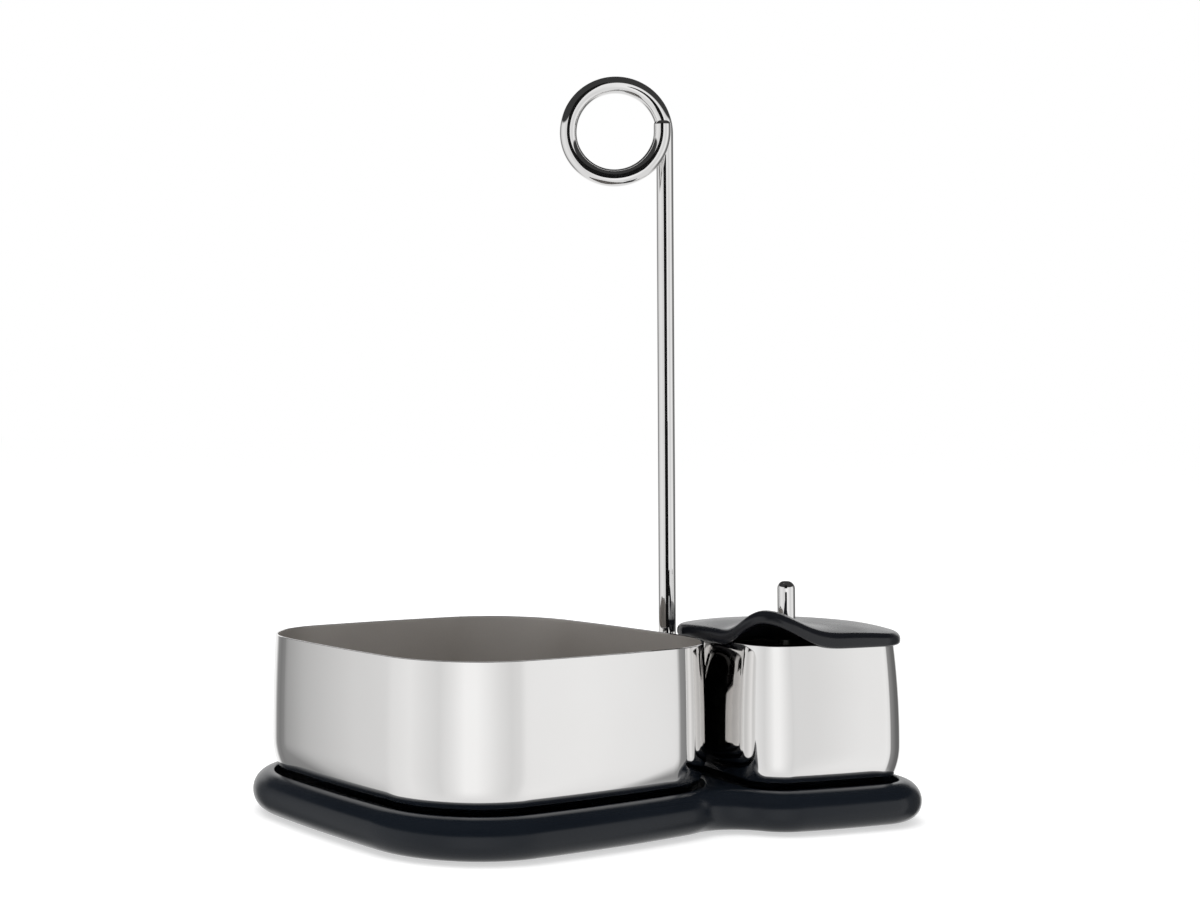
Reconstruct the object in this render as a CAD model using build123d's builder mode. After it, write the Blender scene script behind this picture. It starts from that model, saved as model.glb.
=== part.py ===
"""Condiment caddy: two steel bowls, one with a lid, on a moulded tray with a wire handle.

Millimetres, +Z up. The origin is on the surface that the caddy stands on, under the middle
of its bounding box. +X runs from the large bowl to the small one, and the front is -Y.
"""
import os
from math import atan2, cos, degrees, pi, radians, sin, sqrt

from build123d import *

# ---- Plan of the two bowls, at the widest level of the wall ----
# A bowl's plan is a rounded square of four shallow side arcs and four corner arcs.
large_half_width = 61.0
large_corner_radius = 33.0
large_side_radius = 490.0
large_turn = 29.5
small_half_width = 30.0
small_corner_radius = 13.5
small_side_radius = 300.0
small_turn = 17.0
between_bowls = 10.0

# ---- Walls of the bowls ----
bowl_height = 52.3
sheet = 0.8
large_rim_inset = 0.7
small_rim_inset = 1.8
widest_share = 0.42
curl_share = 0.35
curl_radius = 25.0
toe_radius = 3.0
wall_steps = 4
curl_steps = 5

# ---- Tray ----
tray_thickness = 12.7
tray_lip = 6.5
tray_waist_radius = 14.0
handle_boss_radius = 11.0
edge_flat = 0.2
well_depth = 7.4
well_gap = 0.5

# ---- Rubber feet ----
foot_diameter = 10.0
foot_thickness = 2.0
foot_standoff = 0.8
foot_clearance = 0.15
large_foot_count = 4
large_foot_circle = 92.0
small_foot_count = 2
small_foot_spread = 30.0
foot_edge_round = 0.3

# ---- Wire handle ----
wire_diameter = 6.0
handle_beyond_large_bowl = 5.1
handle_y = 22.4
loop_height = 230.3
loop_radius = 17.0
return_radius = 15.8
wire_gap = 0.5
wire_end_rise = 3.5
wire_end_round = 1.5
spigot_diameter = 4.0
spigot_clearance = 0.1
spigot_proud = 1.0
nut_across_flats = 7.0
nut_height = 4.0
washer_diameter = 9.0
washer_thickness = 1.0
fastener_pocket_depth = 6.6
fastener_pocket_clearance = 0.6

# ---- Lid ----
lid_edge_thickness = 4.3
lid_overhang = 2.2
lid_skirt = 1.2
lid_crown_radius = 240.0
lid_crown = 2.3
lid_upper_round = 1.9
lid_lower_round = 1.2
lid_rim_clearance = 0.5
locator_depth = 2.5
locator_thickness = 1.6
wave_height = 8.3
wave_left_reach = 17.0
wave_right_reach = 22.0
wave_start = 6.0
lid_sections = 15
cross_points = 21
lid_margin = 1.0

# ---- Knob of the lid ----
knob_diameter = 6.0
knob_height = 12.8
knob_round = 2.5
screw_diameter = 3.0
screw_reach = 7.0
screw_clearance = 0.1
screw_head_diameter = 5.6
screw_head_height = 2.0
knob_washer_diameter = 9.0
knob_washer_thickness = 0.8
screw_hole_extra = 1.0

# ---- Levels ----
tray_bottom = foot_standoff
tray_top = tray_bottom + tray_thickness
well_floor = tray_top - well_depth
rim_level = well_floor + bowl_height
lid_bottom = rim_level - lid_skirt
lid_top = lid_bottom + lid_edge_thickness + lid_crown
quarter = 90.0
eighth = quarter / 2
full_turn = 4 * quarter


def corner_offset(half_width, corner_radius, side_radius):
    """How far the centre of a corner arc lies from the plan's centre, along each side's normal."""
    to_side_centre = side_radius - half_width
    between_centres = side_radius - corner_radius
    return (sqrt(2 * between_centres**2 - to_side_centre**2) - to_side_centre) / 2


def reach(half_width, corner_radius, side_radius, turn, grow):
    """How far the rounded square reaches along X, and by its symmetry along Y."""
    offset_along_side = corner_offset(half_width, corner_radius, side_radius)
    corner_turn = radians(eighth - turn)
    return offset_along_side * sqrt(2) * cos(corner_turn) + corner_radius + grow


large_reach = reach(
    large_half_width, large_corner_radius, large_side_radius, large_turn, tray_lip
)
small_reach = reach(
    small_half_width, small_corner_radius, small_side_radius, small_turn, tray_lip
)
bowl_spacing = large_half_width + small_half_width + between_bowls
large_x = (large_reach - small_reach - bowl_spacing) / 2
small_x = large_x + bowl_spacing
handle_x = large_x + large_half_width + handle_beyond_large_bowl


def rounded_square(centre_x, half_width, corner_radius, side_radius, turn, grow, mode):
    """Draws the eight tangent arcs of a bowl's plan, grown evenly, and fills them."""
    offset_along_side = corner_offset(half_width, corner_radius, side_radius)
    to_side_centre = side_radius - half_width
    half_side_angle = degrees(atan2(offset_along_side, offset_along_side + to_side_centre))
    half_corner_angle = eighth - half_side_angle
    with BuildLine() as border:
        for index in range(4):
            side_angle = turn + index * quarter
            corner_angle = side_angle + eighth
            side_centre = Vector(centre_x, 0) - Vector(to_side_centre, 0).rotate(
                Axis.Z, side_angle
            )
            corner_centre = Vector(centre_x, 0) + Vector(offset_along_side * sqrt(2), 0).rotate(
                Axis.Z, corner_angle
            )
            CenterArc(
                side_centre, side_radius + grow, side_angle - half_side_angle, 2 * half_side_angle
            )
            CenterArc(
                corner_centre,
                corner_radius + grow,
                corner_angle - half_corner_angle,
                2 * half_corner_angle,
            )
    make_face(border.edges(), mode=mode)


def large_plan(grow, mode=Mode.ADD):
    """The large bowl's plan in the current sketch, grown by a distance."""
    rounded_square(
        large_x,
        large_half_width,
        large_corner_radius,
        large_side_radius,
        large_turn,
        grow,
        mode,
    )


def small_plan(grow, mode=Mode.ADD):
    """The small bowl's plan in the current sketch, grown by a distance."""
    rounded_square(
        small_x,
        small_half_width,
        small_corner_radius,
        small_side_radius,
        small_turn,
        grow,
        mode,
    )


def wall_offset(height, rim_inset):
    """How far a bowl's outer wall stands outside its widest plan, at a height over its base.

    The wall bulges as a shallow parabola about its widest level, and curls in below the
    level where the bottom's rounding starts.
    """
    widest = widest_share * bowl_height
    bulge = rim_inset * ((height - widest) / (bowl_height - widest)) ** 2
    below = max(curl_share * bowl_height - height, 0.0)
    curl = curl_radius - sqrt(curl_radius**2 - below**2)
    return -bulge - curl


def bowl_heights(base, top):
    """Heights of the sections that the wall passes through, from the toe up to the rim."""
    curl_top = curl_share * bowl_height
    lower = [base + (curl_top - base) * step / curl_steps for step in range(curl_steps)]
    upper = [curl_top + (top - curl_top) * step / wall_steps for step in range(wall_steps + 1)]
    return lower + upper


def bowl_solid(plan, rim_inset, inset, base, top):
    """Lofts a bowl's outer form, or its inside if it is inset by the sheet."""
    toe = wall_offset(toe_radius, rim_inset) - toe_radius
    with BuildSketch(Plane.XY.offset(well_floor + base)) as underside:
        plan(toe - inset)
    sections = [underside.sketch.face()]
    for height in bowl_heights(base + toe_radius, top):
        with BuildSketch(Plane.XY.offset(well_floor + height)) as section:
            plan(wall_offset(height, rim_inset) - inset)
        sections.append(section.sketch.face())
    loft(sections)


def foot_places():
    """Plan positions of the rubber feet: a ring under the large bowl, a row under the small."""
    places = []
    for index in range(large_foot_count):
        angle = radians(large_turn + index * full_turn / large_foot_count)
        arm = large_foot_circle / 2
        places.append((large_x + arm * cos(angle), arm * sin(angle)))
    for index in range(small_foot_count):
        across = small_foot_spread * (index / (small_foot_count - 1) - 1 / 2)
        places.append((small_x, across))
    return places


os.makedirs("parts", exist_ok=True)

# ---- Tray ----
with BuildPart() as tray:
    with BuildSketch(Plane.XY.offset(tray_bottom)) as tray_outline:
        large_plan(tray_lip)
        small_plan(tray_lip)
        with Locations((handle_x, handle_y)):
            Circle(handle_boss_radius)
        offset(amount=tray_waist_radius, mode=Mode.REPLACE)
        offset(amount=-tray_waist_radius, mode=Mode.REPLACE)
    extrude(amount=tray_thickness)
    flat_rims = tray.faces().filter_by(Axis.Z)
    fillet(flat_rims.edges(), radius=(tray_thickness - edge_flat) / 2)
    with BuildSketch(Plane.XY.offset(well_floor)):
        large_plan(-well_gap)
        small_plan(-well_gap)
    extrude(amount=well_depth, mode=Mode.SUBTRACT)
    with Locations(Plane.XY.offset(tray_bottom)):
        with Locations(*foot_places()):
            Cylinder(
                foot_diameter / 2 + foot_clearance,
                foot_thickness - foot_standoff,
                align=(Align.CENTER, Align.CENTER, Align.MIN),
                mode=Mode.SUBTRACT,
            )
    with Locations((handle_x, handle_y, tray_bottom)):
        Cylinder(
            spigot_diameter / 2 + spigot_clearance,
            tray_thickness,
            align=(Align.CENTER, Align.CENTER, Align.MIN),
            mode=Mode.SUBTRACT,
        )
        Cylinder(
            washer_diameter / 2 + fastener_pocket_clearance,
            fastener_pocket_depth,
            align=(Align.CENTER, Align.CENTER, Align.MIN),
            mode=Mode.SUBTRACT,
        )
tray.part.label = "tray"
export_step(tray.part, "parts/tray.step")

# ---- Rubber feet, each a disc in its own pocket ----
for number, place in enumerate(foot_places(), start=1):
    with BuildPart() as foot:
        with Locations(place):
            Cylinder(
                foot_diameter / 2,
                foot_thickness,
                align=(Align.CENTER, Align.CENTER, Align.MIN),
            )
        fillet(foot.faces().sort_by(Axis.Z)[0].edges(), radius=foot_edge_round)
    foot.part.label = f"foot_{number}"
    export_step(foot.part, f"parts/foot_{number}.step")

# ---- Bowls ----
with BuildPart() as large_hollow:
    bowl_solid(large_plan, large_rim_inset, sheet, sheet, bowl_height)
with BuildPart() as large_bowl:
    bowl_solid(large_plan, large_rim_inset, 0, 0, bowl_height)
    add(large_hollow.part, mode=Mode.SUBTRACT)
large_bowl.part.label = "large_bowl"
export_step(large_bowl.part, "parts/large_bowl.step")

with BuildPart() as small_hollow:
    bowl_solid(small_plan, small_rim_inset, sheet, sheet, bowl_height)
with BuildPart() as small_bowl:
    bowl_solid(small_plan, small_rim_inset, 0, 0, bowl_height)
    add(small_hollow.part, mode=Mode.SUBTRACT)
small_bowl.part.label = "small_bowl"
export_step(small_bowl.part, "parts/small_bowl.step")

# ---- Lid: a crowned slab whose front corner lifts in a wave over the spoon's way in ----
lid_grow = lid_overhang - small_rim_inset
socket_grow = lid_rim_clearance - small_rim_inset
locator_grow = -small_rim_inset - sheet - lid_rim_clearance
small_corner_offset = corner_offset(small_half_width, small_corner_radius, small_side_radius)
wave_edge = small_corner_offset * sqrt(2) + small_corner_radius + lid_grow
wave_angle = small_turn + eighth + 2 * quarter
wave_forward = Vector(1, 0).rotate(Axis.Z, wave_angle)
wave_sideways = Vector(0, 1).rotate(Axis.Z, wave_angle)
lid_span = wave_edge + lid_margin
wave_length = wave_edge - wave_start
wave_width = wave_left_reach + wave_right_reach
wave_middle = (
    Vector(small_x, 0, lid_bottom)
    + wave_forward * (wave_start + wave_length / 2)
    + wave_sideways * (wave_right_reach - wave_left_reach) / 2
)


def crown_height(distance, across):
    """Height of the lid's crowned top over its lower edge, at a place in plan from the knob."""
    fall = lid_crown_radius - sqrt(lid_crown_radius**2 - distance**2 - across**2)
    return lid_top - lid_bottom - fall


def wave_lift(distance, across):
    """Height of the wave: a squared cosine to each side, rising smoothly to the edge."""
    share = max(min((distance - wave_start) / wave_length, 1.0), 0.0)
    side_reach = wave_right_reach if across > 0 else wave_left_reach
    if abs(across) > side_reach:
        return 0.0
    ridge = wave_height * (1 - cos(pi * share)) / 2
    return ridge * cos(pi * across / (2 * side_reach)) ** 2


def cross_line(distance, top):
    """Points of one line across the lid, on its top or its underside, shorter near its corners."""
    half_line = sqrt(lid_span**2 - distance**2 / 2)
    points = []
    for index in range(cross_points):
        across = half_line * (2 * index / (cross_points - 1) - 1)
        base = crown_height(distance, across) if top else 0
        points.append((across, base + wave_lift(distance, across)))
    return points


with BuildPart() as lid_form:
    for index in range(lid_sections):
        distance = lid_span * (2 * index / (lid_sections - 1) - 1)
        station = Plane(
            origin=Vector(small_x, 0, lid_bottom) + wave_forward * distance,
            x_dir=wave_sideways,
            z_dir=wave_forward,
        )
        with BuildSketch(station):
            with BuildLine():
                under = Spline(*cross_line(distance, False))
                over = Spline(*cross_line(distance, True))
                Line(under @ 0, over @ 0)
                Line(under @ 1, over @ 1)
            make_face()
    loft()

with BuildPart() as locator:
    with BuildSketch(Plane.XY.offset(rim_level - locator_depth)):
        small_plan(locator_grow)
        small_plan(locator_grow - locator_thickness, mode=Mode.SUBTRACT)
    extrude(amount=locator_depth)
    with Locations(Location(wave_middle, (0, 0, wave_angle))):
        Box(wave_length, wave_width, 2 * wave_height, mode=Mode.SUBTRACT)

with BuildPart() as lid:
    with BuildSketch(Plane.XY.offset(lid_bottom - lid_margin)):
        small_plan(lid_grow)
    extrude(amount=lid_margin + lid_top - lid_bottom + wave_height)
    add(lid_form.part, mode=Mode.INTERSECT)
    lid_upper_face = lid.faces().sort_by(SortBy.AREA)[-2:].sort_by(Axis.Z)[-1]
    fillet(lid_upper_face.edges(), radius=lid_upper_round)
    lid_lower_face = lid.faces().sort_by(SortBy.AREA)[-2:].sort_by(Axis.Z)[0]
    fillet(lid_lower_face.edges(), radius=lid_lower_round)
    with BuildSketch(Plane.XY.offset(lid_bottom - lid_margin)):
        small_plan(socket_grow)
    extrude(amount=lid_margin + lid_skirt, mode=Mode.SUBTRACT)
    with Locations((small_x, 0, rim_level)):
        Cylinder(
            screw_diameter / 2 + screw_clearance,
            lid_top - rim_level + lid_margin,
            align=(Align.CENTER, Align.CENTER, Align.MIN),
            mode=Mode.SUBTRACT,
        )
    add(locator.part)
lid.part.label = "lid"
export_step(lid.part, "parts/lid.step")

# ---- Knob of the lid, with the screw and washer that hold it from below ----
with BuildPart() as lid_knob:
    with Locations((small_x, 0, lid_top)):
        Cylinder(knob_diameter / 2, knob_height, align=(Align.CENTER, Align.CENTER, Align.MIN))
        fillet(lid_knob.faces().sort_by(Axis.Z)[-1].edges(), radius=knob_round)
        Cylinder(
            screw_diameter / 2 + screw_clearance,
            screw_reach + screw_hole_extra,
            align=(Align.CENTER, Align.CENTER, Align.MIN),
            mode=Mode.SUBTRACT,
        )
lid_knob.part.label = "lid_knob"
export_step(lid_knob.part, "parts/lid_knob.step")

with BuildPart() as knob_washer:
    with Locations((small_x, 0, rim_level)):
        Cylinder(
            knob_washer_diameter / 2,
            knob_washer_thickness,
            align=(Align.CENTER, Align.CENTER, Align.MAX),
        )
        Cylinder(
            screw_diameter / 2 + screw_clearance,
            knob_washer_thickness,
            align=(Align.CENTER, Align.CENTER, Align.MAX),
            mode=Mode.SUBTRACT,
        )
knob_washer.part.label = "knob_washer"
export_step(knob_washer.part, "parts/knob_washer.step")

screw_seat = rim_level - knob_washer_thickness
with BuildPart() as knob_screw:
    with Locations((small_x, 0, screw_seat)):
        Cylinder(
            screw_head_diameter / 2,
            screw_head_height,
            align=(Align.CENTER, Align.CENTER, Align.MAX),
        )
        Cylinder(
            screw_diameter / 2,
            lid_top + screw_reach - screw_seat,
            align=(Align.CENTER, Align.CENTER, Align.MIN),
        )
knob_screw.part.label = "knob_screw"
export_step(knob_screw.part, "parts/knob_screw.step")

# ---- Handle: one wire, straight up, once round over the large bowl and up past itself ----
washer_top = tray_bottom + fastener_pocket_depth
nut_top = washer_top - washer_thickness
spigot_end = nut_top - nut_height - spigot_proud
return_x = handle_x - 2 * loop_radius + 2 * return_radius
return_y = handle_y - wire_diameter - wire_gap
return_chord = sqrt((2 * return_radius) ** 2 + (wire_diameter + wire_gap) ** 2)
wire_end = loop_height + wire_end_rise
with BuildPart() as handle_rod:
    with BuildLine() as wire_path:
        Line((handle_x, handle_y, tray_top), (handle_x, handle_y, loop_height))
        ThreePointArc(
            (handle_x, handle_y, loop_height),
            (handle_x - loop_radius, handle_y, loop_height + loop_radius),
            (handle_x - 2 * loop_radius, handle_y, loop_height),
        )
        ThreePointArc(
            (handle_x - 2 * loop_radius, handle_y, loop_height),
            (
                handle_x - 2 * loop_radius + return_radius,
                (handle_y + return_y) / 2,
                loop_height - return_chord / 2,
            ),
            (return_x, return_y, loop_height),
        )
        Line((return_x, return_y, loop_height), (return_x, return_y, wire_end))
    with BuildSketch(Plane.XY.offset(tray_top)):
        with Locations((handle_x, handle_y)):
            Circle(wire_diameter / 2)
    sweep(path=wire_path.wire())
    wire_tip = handle_rod.faces().filter_by(Axis.Z).sort_by(Axis.Z)[-1]
    fillet(wire_tip.edges(), radius=wire_end_round)
    with Locations((handle_x, handle_y, spigot_end)):
        Cylinder(
            spigot_diameter / 2,
            tray_top - spigot_end,
            align=(Align.CENTER, Align.CENTER, Align.MIN),
        )
handle_rod.part.label = "handle_rod"
export_step(handle_rod.part, "parts/handle_rod.step")

with BuildPart() as handle_washer:
    with Locations((handle_x, handle_y, washer_top)):
        Cylinder(
            washer_diameter / 2,
            washer_thickness,
            align=(Align.CENTER, Align.CENTER, Align.MAX),
        )
        Cylinder(
            spigot_diameter / 2 + spigot_clearance,
            washer_thickness,
            align=(Align.CENTER, Align.CENTER, Align.MAX),
            mode=Mode.SUBTRACT,
        )
handle_washer.part.label = "handle_washer"
export_step(handle_washer.part, "parts/handle_washer.step")

with BuildPart() as handle_nut:
    with BuildSketch(Plane.XY.offset(nut_top - nut_height)):
        with Locations((handle_x, handle_y)):
            RegularPolygon(nut_across_flats / 2, 6, major_radius=False)
            Circle(spigot_diameter / 2 + spigot_clearance, mode=Mode.SUBTRACT)
    extrude(amount=nut_height)
handle_nut.part.label = "handle_nut"
export_step(handle_nut.part, "parts/handle_nut.step")
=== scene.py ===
"""Condiment caddy, dressed: two polished bowls, a moulded tray and lid, a bright wire handle.

The caddy's lengths are written in millimetres and become metres where a mesh is made. The
floor, the lamp and the cards are written in metres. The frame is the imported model's: +X from
the large bowl to the small one, the front towards -Y, +Z up.
"""

from math import atan2, cos, degrees, pi, radians, sin, sqrt

import bmesh
import bpy
import numpy as np
from mathutils import Matrix, Vector
from mathutils.geometry import tessellate_polygon


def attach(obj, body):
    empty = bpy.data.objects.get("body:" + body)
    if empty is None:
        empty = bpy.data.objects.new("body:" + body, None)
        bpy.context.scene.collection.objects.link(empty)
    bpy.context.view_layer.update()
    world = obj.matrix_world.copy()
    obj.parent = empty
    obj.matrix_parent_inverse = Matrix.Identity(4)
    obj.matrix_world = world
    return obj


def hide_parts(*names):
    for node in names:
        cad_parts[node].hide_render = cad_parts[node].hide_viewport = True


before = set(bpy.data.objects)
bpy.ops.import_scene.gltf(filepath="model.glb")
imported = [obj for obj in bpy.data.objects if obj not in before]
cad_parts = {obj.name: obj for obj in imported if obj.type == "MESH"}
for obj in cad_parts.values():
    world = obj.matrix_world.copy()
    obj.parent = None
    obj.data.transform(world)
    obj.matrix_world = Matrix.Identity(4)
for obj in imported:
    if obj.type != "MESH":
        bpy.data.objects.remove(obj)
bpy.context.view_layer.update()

MM = 0.001
QUARTER = 90.0
SHARP_ANGLE = radians(32)
MERGE_COARSE = 0.002
MERGE_FINE = 0.0005

# ---- Camera, close to the photograph's place ----
# Its place is in millimetres. The focal length and the shift are in pixels of the frame's width.
FRAME_WIDTH = 1200.0
CAMERA_PLACE = (-117.84, -614.85, 124.95)
CAMERA_AZIMUTH = radians(-3.123)
CAMERA_ELEVATION = radians(-2.912)
CAMERA_ROLL = radians(0.213)
CAMERA_FOCAL = 1855.9
CAMERA_SHIFT = (270.0, -110.0)
CAMERA_NEAR = 0.01
CAMERA_FAR = 100.0
SENSOR = 36.0

# ---- Plans and walls of the bowls, as in the part ----
# A shape is its half width, corner radius, side radius and turn in degrees.
LARGE_SHAPE = (61.0, 33.0, 490.0, 29.5)
SMALL_SHAPE = (30.0, 13.5, 300.0, 17.0)
LARGE_RIM_INSET = 0.7
SMALL_RIM_INSET = 1.8
BETWEEN_BOWLS = 10.0
BOWL_HEIGHT = 52.3
SHEET = 0.8
WIDEST_SHARE = 0.42
CURL_SHARE = 0.35
CURL_RADIUS = 25.0
TOE_RADIUS = 3.0
RIM_ROUND = 0.22
SIDE_STEPS = 34
CORNER_STEPS = 40
WALL_STEPS = 46
ARC_STEPS = 10
FLOOR_SHARES = (0.25, 0.5, 0.75, 0.95)

# ---- Tray ----
TRAY_BOTTOM = 0.8
TRAY_THICKNESS = 12.7
TRAY_LIP = 6.5
TRAY_WAIST = 14.0
TRAY_EDGE_ROUND = 6.25
HANDLE_BOSS = 11.0
HANDLE_BEYOND_BOWL = 5.1
HANDLE_Y = 22.4
WELL_DEPTH = 7.4
WELL_GAP = 0.5
WELL_LIP_ROUND = 0.35
WELL_FLOOR_ROUND = 0.6
TRAY_TOP = TRAY_BOTTOM + TRAY_THICKNESS
WELL_FLOOR = TRAY_TOP - WELL_DEPTH
RIM_LEVEL = WELL_FLOOR + BOWL_HEIGHT
TRAY_POINTS = 720
DENSE = 900
DIRECTIONS = 8 * DENSE
SWEEP_STEPS = 90
ROUND_STEPS = 18
POCKET_STEPS = 40
FOOT_POCKET = 5.15
FOOT_POCKET_DEPTH = 1.2
LARGE_FOOT_ARM = 46.0
SMALL_FOOT_SIDE = 15.0
NUT_POCKET = 5.1
NUT_POCKET_DEPTH = 6.6
SPIGOT_HOLE = 2.1

# ---- Wire handle ----
WIRE_RADIUS = 3.0
LOOP_HEIGHT = 230.3
LOOP_RADIUS = 17.0
RETURN_RADIUS = 15.8
WIRE_GAP = 0.5
WIRE_END_RISE = 3.5
WIRE_END_ROUND = 1.5
SPIGOT_RADIUS = 2.0
SPIGOT_END = 1.4
WIRE_ROUND_STEPS = 48
LOOP_STEPS = 72
STEM_STEPS = 40

# ---- Lid ----
LID_BOTTOM = RIM_LEVEL - 1.2
LID_CENTRE_HEIGHT = 6.6
LID_CROWN_RADIUS = 240.0
LID_UPPER_ROUND = 1.9
LID_LOWER_ROUND = 1.2
LID_GROW = 0.4
SOCKET_GROW = -1.3
LOCATOR_GROW = -3.1
LOCATOR_THICKNESS = 1.6
LOCATOR_DEPTH = 2.5
LOCATOR_ROUND = 0.4
WAVE_HEIGHT = 8.3
WAVE_LEFT_REACH = 17.0
WAVE_RIGHT_REACH = 22.0
WAVE_START = 6.0
LID_TOP = LID_BOTTOM + LID_CENTRE_HEIGHT
KNOB_RADIUS = 3.0
KNOB_HEIGHT = 12.8
KNOB_ROUND = 2.5
KNOB_FOOT_CHAMFER = 0.15
LID_INNER_STEPS = 28


def unit(angles):
    """Directions in plan for angles in degrees: the cosine and the sine of each."""
    turned = np.radians(angles)
    return np.stack([np.cos(turned), np.sin(turned)], axis=-1)


def corner_offset(half_width, corner, side):
    """Distance of a corner arc's centre along each side's normal, so that the arcs are tangent."""
    to_side = side - half_width
    return (sqrt(2 * (side - corner) ** 2 - to_side**2) - to_side) / 2


def plan_reach(half_width, corner, side, turn):
    """Farthest X of a plan: the corner centre's X, the corner radius and the tray's lip."""
    along = corner_offset(half_width, corner, side) * sqrt(2)
    return along * cos(radians(QUARTER / 2 - turn)) + corner + TRAY_LIP


BOWL_SPACING = LARGE_SHAPE[0] + SMALL_SHAPE[0] + BETWEEN_BOWLS
LARGE_X = (plan_reach(*LARGE_SHAPE) - plan_reach(*SMALL_SHAPE) - BOWL_SPACING) / 2
SMALL_X = LARGE_X + BOWL_SPACING
HANDLE_X = LARGE_X + LARGE_SHAPE[0] + HANDLE_BEYOND_BOWL


def plan_outline(shape, centre_x, side_steps=SIDE_STEPS, corner_steps=CORNER_STEPS):
    """Points and outward directions round a plan of four side arcs and four corner arcs.

    Every arc is its centre plus its radius times the direction at evenly spaced angles.
    """
    half_width, corner, side, turn = shape
    to_side = side - half_width
    offset = corner_offset(half_width, corner, side)
    half_side = degrees(atan2(offset, offset + to_side))
    half_corner = QUARTER / 2 - half_side
    sides = turn + QUARTER * np.arange(4)[:, None]
    corners = sides + QUARTER / 2
    side_angles = sides + half_side * (2 * np.arange(side_steps) / side_steps - 1)
    corner_angles = corners + half_corner * (2 * np.arange(corner_steps) / corner_steps - 1)
    middle = np.array([centre_x, 0.0])
    side_points = middle - to_side * unit(sides) + side * unit(side_angles)
    corner_points = middle + offset * sqrt(2) * unit(corners) + corner * unit(corner_angles)
    points = np.concatenate([side_points, corner_points], axis=1).reshape(-1, 2)
    outward = np.concatenate([unit(side_angles), unit(corner_angles)], axis=1).reshape(-1, 2)
    return points, outward


def ring(points, outward, grow, level):
    """One closed ring: the outline moved outwards by grow, at a level."""
    moved = points + outward * grow
    return np.column_stack([moved, np.broadcast_to(level, len(moved))])


def shrunk(whole_ring, centre, share):
    """The same ring drawn in towards its centre in plan, at the same level."""
    middle = np.array(centre)
    inner = whole_ring.copy()
    inner[:, :2] = middle + (whole_ring[:, :2] - middle) * share
    return inner


def arc(start, end):
    """Angles in radians of one quarter round, from start to end in degrees."""
    return np.radians(np.linspace(start, end, ARC_STEPS))


def band_faces(rings, around):
    """Four-sided faces between neighbouring rings, each joined round on itself."""
    row, column = np.meshgrid(np.arange(rings - 1), np.arange(around), indexing="ij")
    after = (column + 1) % around
    lower = row * around
    upper = lower + around
    quads = np.stack([lower + column, lower + after, upper + after, upper + column])
    return quads.reshape(4, -1).T.tolist()


def pole_faces(pole, first, around, upward):
    """Three-sided faces that close a ring at its middle point."""
    column = np.arange(around)
    after = (column + 1) % around
    pair = (column, after) if upward else (after, column)
    return np.stack([np.full(around, pole), first + pair[0], first + pair[1]], axis=-1).tolist()


def make_piece(name, points, faces, body, materials, replaced=(), merge=0.0):
    """Puts millimetre points and faces into a mesh object that rides on a body."""
    mesh = bpy.data.meshes.new(name)
    mesh.from_pydata((np.asarray(points) * MM).tolist(), [], faces)
    if merge:
        shell = bmesh.new()
        shell.from_mesh(mesh)
        bmesh.ops.remove_doubles(shell, verts=shell.verts, dist=merge * MM)
        bmesh.ops.dissolve_degenerate(shell, edges=shell.edges, dist=merge * MM)
        bmesh.ops.recalc_face_normals(shell, faces=shell.faces)
        shell.to_mesh(mesh)
        shell.free()
    mesh.shade_smooth()
    mesh.set_sharp_from_angle(angle=SHARP_ANGLE)
    for material in materials:
        mesh.materials.append(material)
    piece = bpy.data.objects.new(name, mesh)
    bpy.context.scene.collection.objects.link(piece)
    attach(piece, body)
    if replaced:
        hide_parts(*replaced)
    return piece


def closed_rings(rings, start_pole, end_pole):
    """Points and faces of rings one over the other, closed at both ends by a middle point."""
    around = len(rings[0])
    points = np.concatenate([*rings, [start_pole], [end_pole]])
    count = len(rings) * around
    faces = band_faces(len(rings), around)
    faces += pole_faces(count, 0, around, False)
    faces += pole_faces(count + 1, count - around, around, True)
    return points, faces


# ---------------------------------------------------------------- materials

ALL_WAYS = (1.0, 1.0, 1.0)
NOISE_SPAN = (0.3, 0.7)
DRIFT_DETAIL = 2.0
RELIEF_DETAIL = 3.0
ROUGH_DETAIL = 4.0
PLASTIC_IOR = 1.5
GRAIN_SCALE = 2600.0
RIPPLE_SCALE = 90.0
# Places of the Mix node's colour sockets among its inputs and outputs.
MIX_SHARE = 0
MIX_FIRST_COLOUR = 6
MIX_SECOND_COLOUR = 7
MIX_COLOUR_OUT = 2


def node(tree, kind, **values):
    """A node with its sockets set: a node output is linked, anything else becomes the default."""
    made = tree.nodes.new(kind)
    for key, value in values.items():
        if key in made.inputs:
            plug(tree, made.inputs[key], value)
        else:
            setattr(made, key, value)
    return made


def plug(tree, socket, value):
    """Links an output to a socket, or sets the socket's own number or colour."""
    if isinstance(value, bpy.types.NodeSocket):
        tree.links.new(value, socket)
    else:
        socket.default_value = value


def calc(tree, operation, first, second=0.0):
    """One Math node's output."""
    made = tree.nodes.new("ShaderNodeMath")
    made.operation = operation
    for socket, value in zip(made.inputs, (first, second)):
        plug(tree, socket, value)
    return made.outputs[0]


def ranged(tree, value, low, high, to_low, to_high):
    """Carries a value smoothly from one range to another, held at the ends."""
    made = node(tree, "ShaderNodeMapRange", interpolation_type="SMOOTHSTEP")
    for socket, number in zip(made.inputs, (value, low, high, to_low, to_high)):
        plug(tree, socket, number)
    return made.outputs[0]


def noise(tree, scale, detail, stretch=ALL_WAYS):
    """Noise on the object's own coordinates, at a scale per metre, stretched by axis."""
    coordinates = node(tree, "ShaderNodeTexCoord")
    mapping = node(tree, "ShaderNodeMapping", Vector=coordinates.outputs["Object"], Scale=stretch)
    made = node(
        tree, "ShaderNodeTexNoise", Vector=mapping.outputs[0], Scale=scale, Detail=detail
    )
    return made.outputs[0]


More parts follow.
